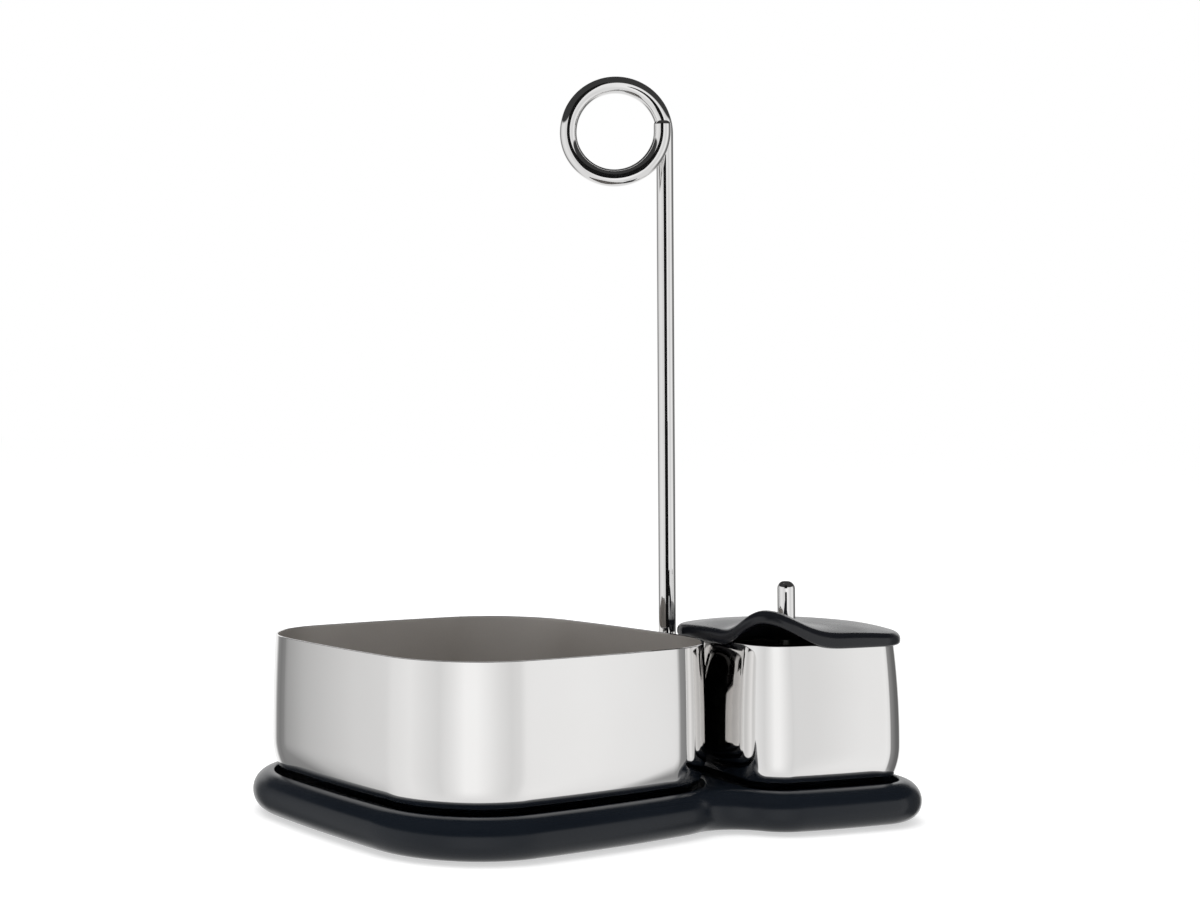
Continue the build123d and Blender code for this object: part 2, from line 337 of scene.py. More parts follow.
def new_material(name):
    """A fresh node material, with its tree and its shader."""
    material = bpy.data.materials.new(name)
    material.use_nodes = True
    tree = material.node_tree
    shader = tree.nodes["Principled BSDF"]
    return material, tree, shader


def blended(tree, share, first, second):
    """A colour between two, by a share from 0 to 1."""
    made = tree.nodes.new("ShaderNodeMix")
    made.data_type = "RGBA"
    plug(tree, made.inputs[MIX_SHARE], share)
    plug(tree, made.inputs[MIX_FIRST_COLOUR], (*first, 1.0))
    plug(tree, made.inputs[MIX_SECOND_COLOUR], (*second, 1.0))
    return made.outputs[MIX_COLOUR_OUT]


def metal(name, dark, light, rough, drift_scale, rough_scale, bumps, mirror_share=1.0):
    """Metal whose colour and gloss drift over the sheet, with relief in its surface.

    bumps is a list of (scale per metre, stretch, height in millimetres). A mirror share
    under one lets a satin sheet scatter some of the light evenly.
    """
    material, tree, shader = new_material(name)
    shader.inputs["Metallic"].default_value = mirror_share
    drift = noise(tree, drift_scale, DRIFT_DETAIL)
    plug(tree, shader.inputs["Base Color"], blended(tree, drift, dark, light))
    fine = noise(tree, rough_scale, ROUGH_DETAIL)
    plug(tree, shader.inputs["Roughness"], ranged(tree, fine, *NOISE_SPAN, *rough))
    plug(tree, shader.inputs["Normal"], bumped(tree, bumps))
    return material


def bumped(tree, bumps):
    """A chain of Bump nodes, one for each scale of relief."""
    normal = None
    for scale, stretch, height in bumps:
        relief = node(
            tree,
            "ShaderNodeBump",
            Strength=1.0,
            Distance=height * MM,
            Height=noise(tree, scale, RELIEF_DETAIL, stretch),
        )
        if normal is not None:
            tree.links.new(normal, relief.inputs["Normal"])
        normal = relief.outputs[0]
    return normal


def moulded(name, dark, light, rough, specular, grain_height, cloud_scale):
    """Moulded plastic: a near-black colour that drifts a little, with a fine etched grain."""
    material, tree, shader = new_material(name)
    shader.inputs["IOR"].default_value = PLASTIC_IOR
    shader.inputs["Specular IOR Level"].default_value = specular
    cloud = noise(tree, cloud_scale, RELIEF_DETAIL)
    plug(tree, shader.inputs["Base Color"], blended(tree, cloud, dark, light))
    plug(tree, shader.inputs["Roughness"], ranged(tree, cloud, *NOISE_SPAN, *rough))
    bumps = [(GRAIN_SCALE, ALL_WAYS, grain_height), (RIPPLE_SCALE, ALL_WAYS, grain_height * 2)]
    plug(tree, shader.inputs["Normal"], bumped(tree, bumps))
    return material


UPRIGHT = (1.0, 1.0, 0.04)
ALONG_WIRE = (1.0, 1.0, 0.2)
ROUND_THE_WALL = (0.2, 0.2, 1.0)
BRUSHED_ROUND = (0.15, 0.15, 1.0)
polished_bowl = metal(
    "polished_bowl_steel",
    dark=(0.80, 0.79, 0.78),
    light=(0.84, 0.835, 0.83),
    rough=(0.035, 0.06),
    drift_scale=30.0,
    rough_scale=900.0,
    bumps=[(14.0, UPRIGHT, 0.010)],
)
satin_inside = metal(
    "satin_bowl_inside",
    dark=(0.60, 0.57, 0.54),
    light=(0.68, 0.65, 0.62),
    rough=(0.42, 0.52),
    drift_scale=25.0,
    rough_scale=1400.0,
    bumps=[(60.0, ROUND_THE_WALL, 0.01), (1800.0, BRUSHED_ROUND, 0.003)],
    mirror_share=0.8,
)
bright_wire = metal(
    "bright_wire_steel",
    dark=(0.78, 0.775, 0.77),
    light=(0.84, 0.835, 0.83),
    rough=(0.025, 0.05),
    drift_scale=60.0,
    rough_scale=1200.0,
    bumps=[(60.0, ALONG_WIRE, 0.001)],
)
zinc = metal(
    "zinc_plated_steel",
    dark=(0.48, 0.48, 0.46),
    light=(0.60, 0.60, 0.57),
    rough=(0.30, 0.48),
    drift_scale=220.0,
    rough_scale=1500.0,
    bumps=[(1500.0, ALL_WAYS, 0.004)],
)
tray_black = moulded(
    "satin_black_tray",
    dark=(0.006, 0.009, 0.014),
    light=(0.010, 0.014, 0.021),
    rough=(0.20, 0.26),
    specular=0.30,
    grain_height=0.0012,
    cloud_scale=35.0,
)
lid_black = moulded(
    "satin_black_lid",
    dark=(0.007, 0.008, 0.011),
    light=(0.011, 0.012, 0.016),
    rough=(0.24, 0.30),
    specular=0.42,
    grain_height=0.0012,
    cloud_scale=45.0,
)
rubber = moulded(
    "dark_foot_rubber",
    dark=(0.018, 0.018, 0.018),
    light=(0.032, 0.032, 0.031),
    rough=(0.68, 0.82),
    specular=0.5,
    grain_height=0.012,
    cloud_scale=300.0,
)

# ---------------------------------------------------------------- bowls


def wall_offset(height, rim_inset):
    """How far the wall stands outside its widest plan: a parabola in height, less the curl.

    Below the curl's level the wall leaves the vertical on a circle of the curl radius.
    """
    widest = WIDEST_SHARE * BOWL_HEIGHT
    bulge = rim_inset * ((height - widest) / (BOWL_HEIGHT - widest)) ** 2
    below = np.maximum(CURL_SHARE * BOWL_HEIGHT - height, 0.0)
    return -bulge - (CURL_RADIUS - np.sqrt(CURL_RADIUS**2 - below**2))


def bowl_profile(rim_inset):
    """Outward offsets and heights down one side of the sheet and up the other.

    Outside: a quarter round at the toe, the wall, the rounded rim. Inside: the same wall
    moved in by the sheet, the same toe round, down to the floor.
    """
    turn = arc(0, 90)
    top = BOWL_HEIGHT - RIM_ROUND
    outer_toe = wall_offset(TOE_RADIUS, rim_inset)
    outer_heights = np.linspace(TOE_RADIUS, top, WALL_STEPS)[1:]
    rim_edge = wall_offset(top, rim_inset)
    inner_start = SHEET + TOE_RADIUS
    inner_heights = np.linspace(top, inner_start, WALL_STEPS)
    inner_toe = wall_offset(inner_start, rim_inset) - SHEET
    grows = np.concatenate(
        [
            outer_toe - TOE_RADIUS * (1 - np.sin(turn)),
            wall_offset(outer_heights, rim_inset),
            rim_edge - RIM_ROUND * (1 - np.cos(turn[1:])),
            rim_edge - SHEET + RIM_ROUND * (1 - np.sin(turn[:-1])),
            wall_offset(inner_heights, rim_inset) - SHEET,
            inner_toe - TOE_RADIUS * (1 - np.cos(turn[1:])),
        ]
    )
    heights = np.concatenate(
        [
            TOE_RADIUS * (1 - np.cos(turn)),
            outer_heights,
            top + RIM_ROUND * np.sin(turn[1:]),
            top + RIM_ROUND * np.cos(turn[:-1]),
            inner_heights,
            inner_start - TOE_RADIUS * np.sin(turn[1:]),
        ]
    )
    outside_rows = ARC_STEPS + len(outer_heights) + 2 * (ARC_STEPS - 1)
    return grows, WELL_FLOOR + heights, outside_rows


def bowl_piece(name, shape, centre_x, rim_inset, body):
    """The whole bowl as one closed sheet, polished outside and satin inside."""
    points, outward = plan_outline(shape, centre_x)
    grows, levels, outside_rows = bowl_profile(rim_inset)
    rings = [ring(points, outward, grow, level) for grow, level in zip(grows, levels)]
    centre = (centre_x, 0.0)
    under = [shrunk(rings[0], centre, share) for share in FLOOR_SHARES]
    floor = [shrunk(rings[-1], centre, share) for share in reversed(FLOOR_SHARES)]
    every = under + rings + floor
    start = (centre_x, 0.0, levels[0])
    end = (centre_x, 0.0, levels[-1])
    all_points, faces = closed_rings(every, start, end)
    piece = make_piece(
        name, all_points, faces, body, (polished_bowl, satin_inside), (body,)
    )
    around = len(points)
    changes = (len(under) + outside_rows - 1) * around
    index = np.zeros(len(faces), dtype=np.int32)
    index[changes : (len(every) - 1) * around] = 1
    index[-around:] = 1
    piece.data.polygons.foreach_set("material_index", index)
    return piece


bowl_piece("large_bowl_sheet", LARGE_SHAPE, LARGE_X, LARGE_RIM_INSET, "large_bowl")
bowl_piece("small_bowl_sheet", SMALL_SHAPE, SMALL_X, SMALL_RIM_INSET, "small_bowl")

# ---------------------------------------------------------------- tray


def polar(points, outward, centre):
    """Distance and outward angle of a curve seen from a point, at evenly spaced directions."""
    seen = points - centre
    angles = np.arctan2(seen[:, 1], seen[:, 0])
    order = np.argsort(angles)
    directions = np.linspace(-pi, pi, DIRECTIONS, endpoint=False)
    distance = np.interp(directions, angles[order], np.hypot(*seen.T)[order], period=2 * pi)
    facing = [
        np.interp(directions, angles[order], outward[order, axis], period=2 * pi)
        for axis in (0, 1)
    ]
    return directions, distance, np.arctan2(facing[1], facing[0])


def tray_outline():
    """Outline of the tray: both plans and the handle's boss, with their hollows filled round.

    Every curve is grown by the waist radius, the farthest of the three is kept in each
    direction from the waist, and the result is drawn in again by the same radius. Where one
    curve gives way to another, the drawing in is an arc about their crossing.
    """
    centre = np.array([HANDLE_X, 0.0])
    grow = TRAY_LIP + TRAY_WAIST
    full_turn = unit(np.linspace(0, 360, DIRECTIONS, endpoint=False))
    curves = []
    for shape, centre_x in ((LARGE_SHAPE, LARGE_X), (SMALL_SHAPE, SMALL_X)):
        points, outward = plan_outline(shape, centre_x, DENSE, DENSE)
        curves.append(polar(points + outward * grow, outward, centre))
    boss = np.array([HANDLE_X, HANDLE_Y]) + (HANDLE_BOSS + TRAY_WAIST) * full_turn
    curves.append(polar(boss, full_turn, centre))
    directions = curves[0][0]
    distances = np.stack([curve[1] for curve in curves])
    facings = np.stack([curve[2] for curve in curves])
    which = distances.argmax(axis=0)
    column = np.arange(len(directions))
    far = distances[which, column]
    facing = facings[which, column]
    grown = centre + far[:, None] * np.stack([np.cos(directions), np.sin(directions)], axis=-1)
    switches = np.flatnonzero(which != np.roll(which, 1))
    pieces = []
    for begin, end in zip(switches, np.roll(switches, -1)):
        run = np.arange(begin, end if end > begin else end + len(directions)) % len(directions)
        pieces.append((grown[run], facing[run]))
        turn_from = facing[run[-1]]
        turn = (facing[end] - turn_from + pi) % (2 * pi) - pi
        sweep = turn_from + turn * np.linspace(0, 1, SWEEP_STEPS)
        pieces.append((np.repeat(grown[end][None], len(sweep), axis=0), sweep))
    places = np.concatenate([piece[0] for piece in pieces])
    angles = np.unwrap(np.concatenate([piece[1] for piece in pieces]))
    outline = places - TRAY_WAIST * np.stack([np.cos(angles), np.sin(angles)], axis=-1)
    return evenly(outline, angles, TRAY_POINTS)


def evenly(outline, angles, count):
    """The outline and its directions at evenly spaced lengths along it."""
    closed = np.vstack([outline, outline[:1]])
    walked = np.concatenate([[0.0], np.cumsum(np.hypot(*np.diff(closed, axis=0).T))])
    keep = np.concatenate([[True], np.diff(walked) > 0])
    turned = np.concatenate([angles, [angles[0] + 2 * pi]])
    stops = np.linspace(0, walked[-1], count, endpoint=False)
    x = np.interp(stops, walked[keep], closed[keep, 0])
    y = np.interp(stops, walked[keep], closed[keep, 1])
    facing = np.interp(stops, walked[keep], turned[keep])
    return np.column_stack([x, y]), np.stack([np.cos(facing), np.sin(facing)], axis=-1)


def circle(centre, radius, level):
    """A level circle about a point in plan."""
    turned = unit(np.linspace(0, 360, POCKET_STEPS, endpoint=False))
    return np.column_stack([np.array(centre) + radius * turned, np.full(POCKET_STEPS, level)])


def foot_places():
    """Plan positions of the feet, as in the part: four under the large bowl, two in a row."""
    arms = LARGE_FOOT_ARM * unit(LARGE_SHAPE[3] + QUARTER * np.arange(4))
    small = [np.array([SMALL_X, side * SMALL_FOOT_SIDE]) for side in (-1, 1)]
    return [*(np.array([LARGE_X, 0.0]) + arms), *small]


class Shell:
    """Collects the rings, caps and flat sheets of one closed piece."""

    def __init__(self):
        self.points = []
        self.faces = []
        self.count = 0

    def take(self, points, faces):
        """Adds points with faces that are numbered from the first of them."""
        self.faces += [[self.count + index for index in face] for face in faces]
        self.points.append(np.asarray(points))
        self.count += len(points)

    def rings(self, rings):
        """Adds a band of rings of equal length."""
        self.take(np.concatenate(rings), band_faces(len(rings), len(rings[0])))

    def cap(self, closing_ring, pole):
        """Closes a ring with a middle point."""
        around = len(closing_ring)
        faces = pole_faces(around, 0, around, True)
        self.take(np.concatenate([closing_ring, [pole]]), faces)

    def sheet(self, borders):
        """Fills the flat sheet between an outer border and the holes in it."""
        loops = [[Vector(point) for point in border.tolist()] for border in borders]
        triangles = [list(face) for face in tessellate_polygon(loops)]
        self.take(np.concatenate(borders), triangles)


def tray_piece():
    """The moulded tray: a full round edge, two wells with softened lips, pockets beneath."""
    outline, outward = tray_outline()
    shell = Shell()
    edge_turn = np.radians(np.linspace(0, 90, ROUND_STEPS))
    inset = TRAY_EDGE_ROUND * (1 - np.sin(edge_turn))
    rise = TRAY_EDGE_ROUND * (1 - np.cos(edge_turn))
    edge = [ring(outline, outward, -a, TRAY_BOTTOM + b) for a, b in zip(inset, rise)]
    edge += [ring(outline, outward, -a, TRAY_TOP - b) for a, b in zip(inset[::-1], rise[::-1])]
    shell.rings(edge)
    top_borders = [edge[-1]]
    sines, cosines = np.sin(arc(0, 90)), np.cos(arc(0, 90))
    for shape, centre_x in ((LARGE_SHAPE, LARGE_X), (SMALL_SHAPE, SMALL_X)):
        points, facing = plan_outline(shape, centre_x)
        lip_grows = WELL_LIP_ROUND * (1 - sines) - WELL_GAP
        lip_levels = TRAY_TOP - WELL_LIP_ROUND * (1 - cosines)
        foot_grows = -WELL_GAP - WELL_FLOOR_ROUND * (1 - cosines)
        foot_levels = WELL_FLOOR + WELL_FLOOR_ROUND * (1 - sines)
        lip = [ring(points, facing, *at) for at in zip(lip_grows, lip_levels)]
        foot = [ring(points, facing, *at) for at in zip(foot_grows, foot_levels)]
        floor = [shrunk(foot[-1], (centre_x, 0.0), share) for share in reversed(FLOOR_SHARES)]
        shell.rings(lip + foot + floor)
        shell.cap(floor[-1], (centre_x, 0.0, WELL_FLOOR))
        top_borders.append(lip[0])
    handle = (HANDLE_X, HANDLE_Y)
    top_hole = circle(handle, SPIGOT_HOLE, TRAY_TOP)
    shell.sheet([*top_borders, top_hole])
    bottom_borders = [edge[0]]
    for place in foot_places():
        mouth = circle(place, FOOT_POCKET, TRAY_BOTTOM)
        ceiling = circle(place, FOOT_POCKET, TRAY_BOTTOM + FOOT_POCKET_DEPTH)
        shell.rings([mouth, ceiling])
        shell.cap(ceiling, (*place, TRAY_BOTTOM + FOOT_POCKET_DEPTH))
        bottom_borders.append(mouth)
    mouth = circle(handle, NUT_POCKET, TRAY_BOTTOM)
    ceiling = TRAY_BOTTOM + NUT_POCKET_DEPTH
    shell.rings(
        [mouth, circle(handle, NUT_POCKET, ceiling), circle(handle, SPIGOT_HOLE, ceiling), top_hole]
    )
    shell.sheet([*bottom_borders, mouth])
    return make_piece(
        "tray_moulding",
        np.concatenate(shell.points),
        shell.faces,
        "tray",
        (tray_black,),
        ("tray",),
        merge=MERGE_COARSE,
    )


tray_piece()

# ---------------------------------------------------------------- handle


def tube(path, radii, across):
    """Rings about a path: each point plus its radius times a direction square to the path.

    The directions turn from across, made square to the path's own direction, through the
    cross product of the two.
    """
    ahead = np.gradient(path, axis=0)
    ahead /= np.linalg.norm(ahead, axis=1, keepdims=True)
    side = np.array(across) - ahead * (ahead @ np.array(across))[:, None]
    side /= np.linalg.norm(side, axis=1, keepdims=True)
    third = np.cross(ahead, side)
    turned = np.linspace(0, 2 * pi, WIRE_ROUND_STEPS, endpoint=False)[None, :, None]
    around = np.cos(turned) * side[:, None] + np.sin(turned) * third[:, None]
    return path[:, None] + around * radii[:, None, None]


def wire_path():
    """The wire's middle line: up, once round over the large bowl, and up past itself."""
    start = np.array([HANDLE_X, HANDLE_Y])
    stem = np.linspace(TRAY_TOP, LOOP_HEIGHT, STEM_STEPS)
    up = np.column_stack([np.full(STEM_STEPS, start[0]), np.full(STEM_STEPS, start[1]), stem])
    angles = np.linspace(0, pi, LOOP_STEPS)[1:]
    over = np.column_stack(
        [
            start[0] - LOOP_RADIUS * (1 - np.cos(angles)),
            np.full(len(angles), start[1]),
            LOOP_HEIGHT + LOOP_RADIUS * np.sin(angles),
        ]
    )
    left = over[-1, :2]
    chord = np.array([2 * RETURN_RADIUS, -2 * WIRE_RADIUS - WIRE_GAP])
    half = np.hypot(*chord) / 2
    back_plan = left + chord * ((1 - np.cos(angles)) / 2)[:, None]
    back = np.column_stack([back_plan, LOOP_HEIGHT - half * np.sin(angles)])
    return up, over, back


def wire_piece():
    """The handle: one swept wire with a turned-down spigot below and a rounded cut end."""
    up, over, back = wire_path()
    end = back[-1]
    turn = arc(0, 90)
    straight = WIRE_END_RISE - WIRE_END_ROUND
    tip_rise = np.concatenate([[straight / 2], straight + WIRE_END_ROUND * np.sin(turn)])
    tip = end + np.column_stack([np.zeros((len(tip_rise), 2)), tip_rise])
    tip_radii = np.concatenate([[WIRE_RADIUS], WIRE_RADIUS - WIRE_END_ROUND * (1 - np.cos(turn))])
    middle = np.concatenate([up, over, back])
    path = np.concatenate([middle, tip])
    radii = np.concatenate([np.full(len(middle), WIRE_RADIUS), tip_radii])
    rings = tube(path, radii, (0.0, 1.0, 0.0))
    foot = rings[0] - path[0]
    spigot_top = path[0] + foot * SPIGOT_RADIUS / WIRE_RADIUS
    drop = np.array([0.0, 0.0, TRAY_TOP - SPIGOT_END])
    spigot = [spigot_top - drop, spigot_top]
    points, faces = closed_rings([*spigot, *rings], path[0] - drop, path[-1])
    return make_piece(
        "handle_wire",
        points,
        faces,
        "tray",
        (bright_wire,),
        ("handle_rod",),
        merge=MERGE_FINE,
    )


wire_piece()

# ---------------------------------------------------------------- lid

WAVE_EDGE = corner_offset(*SMALL_SHAPE[:3]) * sqrt(2) + SMALL_SHAPE[1] + LID_GROW
# The wave rises at the front corner, two and a half quarter turns on from the first side.
WAVE_ANGLE = SMALL_SHAPE[3] + 2.5 * QUARTER
LID_CENTRE = np.array([SMALL_X, 0.0])


def wave_place(plan_points):
    """How far forward and across the wave a place lies, and the wave's reach on that side."""
    forward = unit(WAVE_ANGLE)
    seen = plan_points - LID_CENTRE
    across = seen @ np.array([-forward[1], forward[0]])
    return seen @ forward, across, np.where(across > 0, WAVE_RIGHT_REACH, WAVE_LEFT_REACH)


def wave_lift(plan_points):
    """Height of the wave at a place: a squared cosine to each side, half a cosine forwards."""
    distance, across, side_reach = wave_place(plan_points)
    share = np.clip((distance - WAVE_START) / (WAVE_EDGE - WAVE_START), 0, 1)
    ridge = WAVE_HEIGHT * (1 - np.cos(pi * share)) / 2
    inside = np.abs(across) < side_reach
    return np.where(inside, ridge * np.cos(pi * across / (2 * side_reach)) ** 2, 0.0)


def crown(plan_points):
    """Height of the crowned top over the lower edge: a large sphere's cap."""
    seen = plan_points - LID_CENTRE
    squared = (seen**2).sum(axis=-1)
    return LID_CENTRE_HEIGHT - (LID_CROWN_RADIUS - np.sqrt(LID_CROWN_RADIUS**2 - squared))


def rounding(distance, radius):
    """How far a rounded edge falls back at a distance in from it: a quarter circle."""
    missing = np.clip(radius - distance, 0.0, radius)
    return radius - np.sqrt(radius**2 - missing**2)


def lid_piece():
    """The lid: a crowned slab with round edges, its front corner lifted in a wave.

    Seen from beneath, the bowl's rim fits in a shallow socket, and the wave clears it.
    """
    points, outward = plan_outline(SMALL_SHAPE, SMALL_X)

    def at(distance, share=1.0):
        inner = points + outward * (LID_GROW - distance)
        return LID_CENTRE + (inner - LID_CENTRE) * share

    def under(plan_points, distance):
        level = LID_BOTTOM + wave_lift(plan_points) + rounding(distance, LID_LOWER_ROUND)
        return np.column_stack([plan_points, level])

    def ceiling(plan_points):
        level = np.maximum(RIM_LEVEL, LID_BOTTOM + wave_lift(plan_points))
        return np.column_stack([plan_points, level])

    def over(plan_points, distance):
        level = LID_BOTTOM + crown(plan_points) + wave_lift(plan_points)
        return np.column_stack([plan_points, level - rounding(distance, LID_UPPER_ROUND)])

    socket = LID_GROW - SOCKET_GROW
    inner_shares = np.linspace(0, 1, LID_INNER_STEPS)[1:]
    low_insets = LID_LOWER_ROUND * (1 - np.sin(arc(0, 90)))
    high_insets = LID_UPPER_ROUND * (1 - np.cos(arc(0, 90)))
    below = [ceiling(at(socket, share)) for share in inner_shares]
    below += [under(at(socket), socket)]
    below += [under(at(distance), distance) for distance in low_insets]
    top = [over(at(distance), distance) for distance in high_insets]
    top += [over(at(LID_UPPER_ROUND, share), LID_UPPER_ROUND) for share in inner_shares[::-1]]
    start = (SMALL_X, 0.0, RIM_LEVEL)
    end = (SMALL_X, 0.0, LID_TOP)
    all_points, faces = closed_rings(below + top, start, end)
    return make_piece(
        "lid_cover",
        all_points,
        faces,
        "lid",
        (lid_black,),
        ("lid",),
        merge=MERGE_COARSE,
    )


def locator_piece():
    """The low wall under the lid that keeps it on the bowl, open where the wave rises."""
    points, outward = plan_outline(SMALL_SHAPE, SMALL_X)
    distance, across, side_reach = wave_place(points)
    kept = ~((distance > WAVE_START) & (np.abs(across) < side_reach))
    first = np.flatnonzero(kept & ~np.roll(kept, 1))[0]
    chosen = (first + np.arange(kept.sum())) % len(points)
    points, outward = points[chosen], outward[chosen]
    corner = LOCATOR_ROUND * (1 - np.sin(arc(0, 90)))
    fall = LOCATOR_ROUND * (1 - np.cos(arc(0, 90)))
    inner = LOCATOR_GROW - LOCATOR_THICKNESS
    low = RIM_LEVEL - LOCATOR_DEPTH
    grows = [inner, *(inner + fall[::-1]), *(LOCATOR_GROW - fall), LOCATOR_GROW]
    levels = [RIM_LEVEL, *(low + corner[::-1]), *(low + corner), RIM_LEVEL]
    section = [ring(points, outward, grow, level) for grow, level in zip(grows, levels)]
    count = len(points)
    rows = np.stack(section, axis=1).reshape(-1, 3)
    around = len(section)
    faces = band_faces(count, around)
    faces.append(list(range(around))[::-1])
    faces.append(list(range((count - 1) * around, count * around)))
    return make_piece(
        "lid_locator", rows, faces, "lid", (lid_black,), merge=MERGE_COARSE
    )


def lathe(name, radii, levels, centre, body, material, replaced):
    """A turned piece: every radius carried round a vertical line, at its level."""
    turned = unit(np.linspace(0, 360, WIRE_ROUND_STEPS, endpoint=False))
    rings = [
        np.column_stack([np.array(centre) + radius * turned, np.full(len(turned), level)])
        for radius, level in zip(radii, levels)
    ]
    points, faces = closed_rings(rings, (*centre, levels[0]), (*centre, levels[-1]))
    return make_piece(
        name, points, faces, body, (material,), replaced, merge=MERGE_FINE
    )


def pin_piece():
    """The lid's pin: a straight bar with a small chamfer at its foot and a domed top."""
    turned = arc(0, 90)
    dome_radii = KNOB_RADIUS - KNOB_ROUND * (1 - np.cos(turned))
    dome_levels = KNOB_HEIGHT - KNOB_ROUND * (1 - np.sin(turned))
    return lathe(
        "lid_pin",
        [KNOB_RADIUS - KNOB_FOOT_CHAMFER, KNOB_RADIUS, *dome_radii],
        LID_TOP + np.array([0.0, KNOB_FOOT_CHAMFER, *dome_levels]),
        (SMALL_X, 0.0),
        "lid",
        bright_wire,
        ("lid_knob",),
    )


lid_piece()
locator_piece()
pin_piece()

# ------------------------------------------- nodes that keep the part's shape

FASTENERS = ("handle_nut", "handle_washer", "knob_screw", "knob_washer")
for node_name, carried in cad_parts.items():
    if node_name.startswith("foot_"):
        finish = rubber
    elif node_name in FASTENERS:
        finish = zinc
    else:
        continue
    for slot in carried.material_slots:
        slot.material = finish

# ---------------------------------------------------------------- stage, lights and camera


def ray_share(tree, kinds):
    """One where a ray is of any of the kinds, nought elsewhere."""
    path = node(tree, "ShaderNodeLightPath")
    total = path.outputs[kinds[0]]
    for kind in kinds[1:]:
        total = calc(tree, "MAXIMUM", total, path.outputs[kind])
    return total


WHITE = (1.0, 1.0, 1.0, 1.0)
PAPER = (0.80, 0.80, 0.80, 1.0)
FLOOR_GLOW = 0.56
FLOOR_HALF = 30.0


def floor_material():
    """Pale floor: plain white paper that keeps the shadow and glows a little where it is seen."""
    material = bpy.data.materials.new("pale_floor")
    material.use_nodes = True
    tree = material.node_tree
    tree.nodes.clear()
    paper = node(tree, "ShaderNodeBsdfDiffuse", Color=PAPER)
    seen = ray_share(tree, ("Is Camera Ray", "Is Glossy Ray", "Is Transmission Ray"))
    strength = calc(tree, "MULTIPLY", seen, FLOOR_GLOW)
    glow = node(tree, "ShaderNodeEmission", Color=WHITE, Strength=strength)
    both = node(tree, "ShaderNodeAddShader")
    tree.links.new(paper.outputs[0], both.inputs[0])
    tree.links.new(glow.outputs[0], both.inputs[1])
    output = node(tree, "ShaderNodeOutputMaterial")
    tree.links.new(both.outputs[0], output.inputs["Surface"])
    return material


def flat_sheet(name, corners, material):
    """A sheet with four corners, for the floor or a card beside the caddy."""
    mesh = bpy.data.meshes.new(name)
    mesh.from_pydata(corners, [], [(0, 1, 2, 3)])
    mesh.materials.append(material)
    sheet = bpy.data.objects.new(name, mesh)
    bpy.context.scene.collection.objects.link(sheet)
    return sheet


def pale_floor():
    """A wide floor under the caddy, which the steel doesn't mirror."""
    signs = ((-1, -1), (1, -1), (1, 1), (-1, 1))
    corners = [(x * FLOOR_HALF, y * FLOOR_HALF, 0) for x, y in signs]
    floor = flat_sheet("floor", corners, floor_material())
    floor.visible_glossy = False


pale_floor()

# Brightness of the walls of light round the caddy, by bearing in degrees: 0 is the front, on
# the camera's side, and 90 is to the right.
WALL_STOPS = (
    (-180, 1.0), (-158, 1.0), (-148, 0.28), (-138, 0.22), (-128, 0.27), (-122, 0.56),
    (-114, 0.75), (-100, 0.86), (-74, 0.93), (-52, 0.83), (-40, 0.78), (-26, 0.90),
    (-12, 1.06), (0, 1.06), (12, 0.97), (25, 0.86), (38, 0.78), (48, 0.82), (56, 0.94),
    (68, 0.98), (80, 0.88), (84, 0.30), (98, 0.22), (108, 0.16), (130, 0.14), (138, 1.0),
    (180, 1.0),
)
WALL_FLOOR = 0.84
WALL_FLOOR_START = radians(-26)
WALL_FLOOR_FULL = radians(-46)
CEILING = 0.045
CEILING_START = radians(19)
CEILING_FULL = radians(23)
EVEN_GLOW = 0.55


def light_walls(tree):
    """Brightness that reflections show: bright walls near the horizon, a dark ceiling."""
    way = node(tree, "ShaderNodeTexCoord").outputs["Generated"]
    parts = node(tree, "ShaderNodeSeparateXYZ", Vector=way)
    east, north, up = parts.outputs
    bearing = calc(tree, "ARCTAN2", east, calc(tree, "MULTIPLY", north, -1.0))
    share = calc(tree, "ADD", calc(tree, "DIVIDE", bearing, 2 * pi), 0.5)
    ramp = tree.nodes.new("ShaderNodeValToRGB")
    plug(tree, ramp.inputs[0], share)
    stops = ramp.color_ramp.elements
    for number, (angle, bright) in enumerate(WALL_STOPS):
        place = angle / 360 + 0.5
        stop = stops[number] if number < 2 else stops.new(place)
        stop.position = place
        stop.color = (bright, bright, bright, 1.0)
    height = calc(tree, "ARCSINE", up)
    beneath = ranged(tree, height, WALL_FLOOR_FULL, WALL_FLOOR_START, 1.0, 0.0)
    even = calc(tree, "MULTIPLY", beneath, WALL_FLOOR)
    wall = calc(tree, "MULTIPLY", ramp.outputs[0], calc(tree, "SUBTRACT", 1.0, beneath))
    cover = ranged(tree, height, CEILING_START, CEILING_FULL, 1.0, 0.0)
    lit = calc(tree, "MULTIPLY", calc(tree, "ADD", even, wall), cover)
    return calc(tree, "MAXIMUM", lit, CEILING)


def studio_world():
    """White to the camera, walls of light in reflections, an even glow to everything else."""
    world = bpy.data.worlds.new("studio")
    bpy.context.scene.world = world
    world.use_nodes = True
    tree = world.node_tree
    tree.nodes.clear()
    seen = ray_share(tree, ("Is Camera Ray", "Is Transmission Ray"))
    gloss = ray_share(tree, ("Is Glossy Ray",))
    walls = light_walls(tree)
    base = calc(tree, "MULTIPLY", calc(tree, "SUBTRACT", 1.0, gloss), EVEN_GLOW)
    lit = calc(tree, "ADD", base, calc(tree, "MULTIPLY", walls, gloss))
    strength = calc(tree, "MAXIMUM", lit, seen)
    background = node(tree, "ShaderNodeBackground", Color=WHITE, Strength=strength)
    output = node(tree, "ShaderNodeOutputWorld")
    tree.links.new(background.outputs[0], output.inputs["Surface"])


studio_world()

LAMP_PLACE = (-0.3, -0.2, 1.6)
LAMP_AIM = (0.0, 0.0, 0.05)
LAMP_SIZE = 1.8
LAMP_WATTS = 14.0


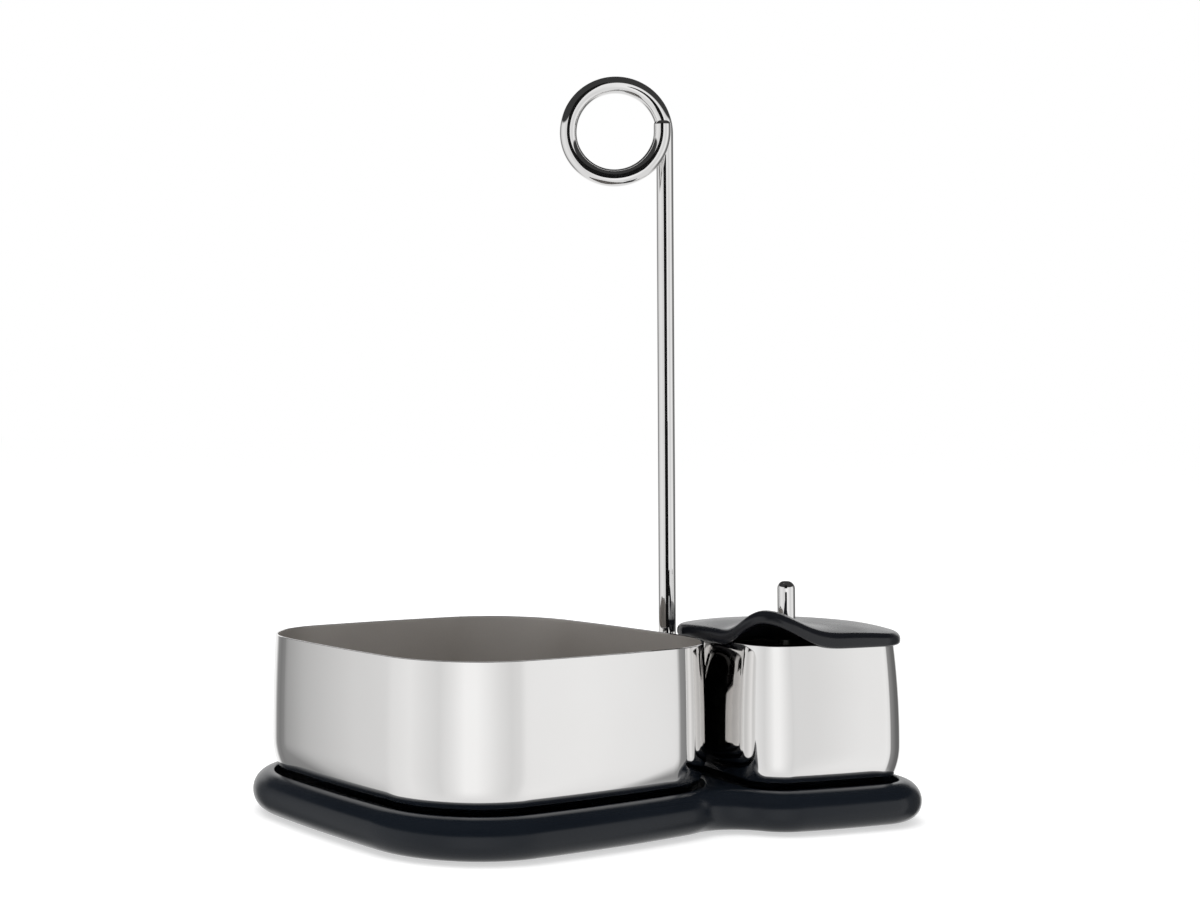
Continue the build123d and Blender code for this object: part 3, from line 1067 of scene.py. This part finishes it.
def overhead_lamp():
    """A large square lamp over the caddy, which the steel doesn't mirror."""
    lamp = bpy.data.lights.new("overhead_soft", "AREA")
    lamp.shape = "SQUARE"
    lamp.size = LAMP_SIZE
    lamp.energy = LAMP_WATTS
    holder = bpy.data.objects.new("overhead_soft", lamp)
    holder.location = LAMP_PLACE
    aim = Vector(LAMP_AIM) - Vector(LAMP_PLACE)
    holder.rotation_euler = aim.to_track_quat("-Z", "Y").to_euler()
    holder.visible_glossy = False
    bpy.context.scene.collection.objects.link(holder)


overhead_lamp()

CARD_BLACK = (0.004, 0.004, 0.004, 1.0)
# Each card's left and right edges, its place along Y, and its lower and upper edges, in metres.
CARDS = {
    "camera_side_card": (-0.210, 0.066, -0.366, 0.125, 0.600),
    "stem_card": (0.0248, 0.0354, 0.0074, 0.058, 0.130),
    "knob_card": (0.034, 0.062, -0.060, 0.063, 0.073),
}


def dark_card(name, left, right, along, low, high):
    """A dark upright card that only reflections show, for the dark line down a round bar."""
    corners = [(left, along, low), (right, along, low), (right, along, high), (left, along, high)]
    material, _, shader = new_material(name)
    shader.inputs["Base Color"].default_value = CARD_BLACK
    shader.inputs["Roughness"].default_value = 1.0
    card = flat_sheet(name, corners, material)
    card.visible_camera = False
    card.visible_diffuse = False
    card.visible_shadow = False
    card.visible_transmission = False


for card_name, card_edges in CARDS.items():
    dark_card(card_name, *card_edges)


def photo_camera():
    """The camera: its three axes from azimuth, elevation and roll, and its shifted frame."""
    back = Vector(
        (
            sin(CAMERA_AZIMUTH) * cos(CAMERA_ELEVATION),
            -cos(CAMERA_AZIMUTH) * cos(CAMERA_ELEVATION),
            sin(CAMERA_ELEVATION),
        )
    )
    level = Vector((cos(CAMERA_AZIMUTH), sin(CAMERA_AZIMUTH), 0.0))
    upright = back.cross(level)
    right = level * cos(CAMERA_ROLL) + upright * sin(CAMERA_ROLL)
    up = upright * cos(CAMERA_ROLL) - level * sin(CAMERA_ROLL)
    lens = bpy.data.cameras.new("photo_camera")
    lens.sensor_width = SENSOR
    lens.lens = CAMERA_FOCAL * SENSOR / FRAME_WIDTH
    lens.shift_x = CAMERA_SHIFT[0] / FRAME_WIDTH
    lens.shift_y = CAMERA_SHIFT[1] / FRAME_WIDTH
    lens.clip_start = CAMERA_NEAR
    lens.clip_end = CAMERA_FAR
    camera = bpy.data.objects.new("photo_camera", lens)
    turned = Matrix((right, up, back)).transposed().to_4x4()
    camera.matrix_world = Matrix.Translation(Vector(CAMERA_PLACE) * MM) @ turned
    bpy.context.scene.collection.objects.link(camera)
    bpy.context.scene.camera = camera


photo_camera()
bpy.context.scene.view_settings.view_transform = "Standard"
